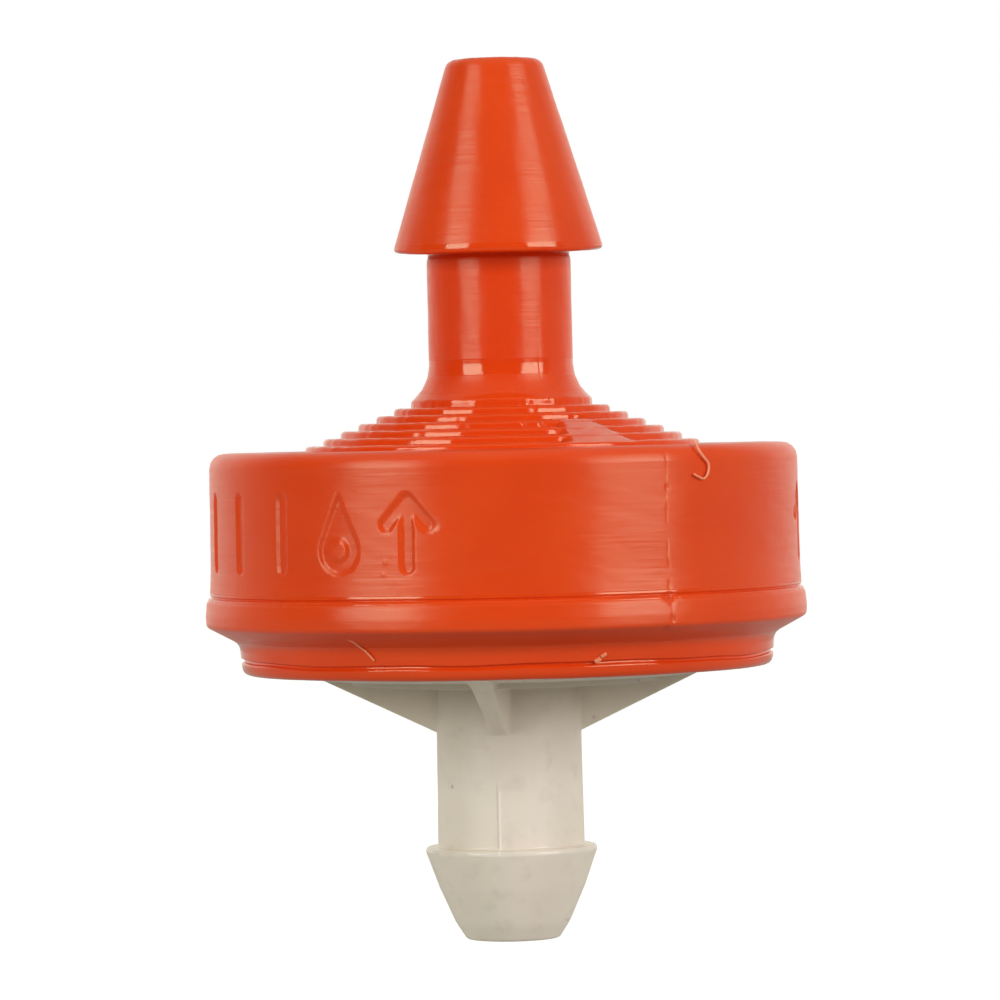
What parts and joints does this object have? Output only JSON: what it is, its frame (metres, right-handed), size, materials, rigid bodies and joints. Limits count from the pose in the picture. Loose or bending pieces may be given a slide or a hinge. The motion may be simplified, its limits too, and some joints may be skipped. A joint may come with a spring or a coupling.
{
  "type": "drip emitter",
  "caption": "Pressure-compensating button drip emitter: round drum cap with outlet barb, ribbed base with inlet barb, maze disc and floating diaphragm inside.",
  "frame": {"origin": "on the common axis at the shoulder of the inlet barb, where the barb meets its neck", "axes": "+Z along the axis from the inlet barb to the outlet barb; the four ribs under the plate lie along +X, -X, +Y and -Y, and the first raised mark of the drum is just left of -Y"},
  "size_m": [0.017, 0.017, 0.0248],
  "materials": {
    "cap_plastic": "satin to gloss moulded orange plastic",
    "base_plastic": "satin moulded grey-beige plastic",
    "insert_plastic": "matte moulded black plastic",
    "silicone": "matte translucent grey silicone rubber"
  },
  "bodies": {
    "housing": {"outlet_cap": "cap_plastic", "inlet_base": "base_plastic", "labyrinth_disc": "insert_plastic"},
    "diaphragm": {"diaphragm": "silicone"}
  },
  "joints": [
    {"name": "diaphragm_lift", "type": "slide", "parent": "housing", "child": "diaphragm", "axis": [0, 0, 1], "range_m": [0, 0.0003]}
  ]
}
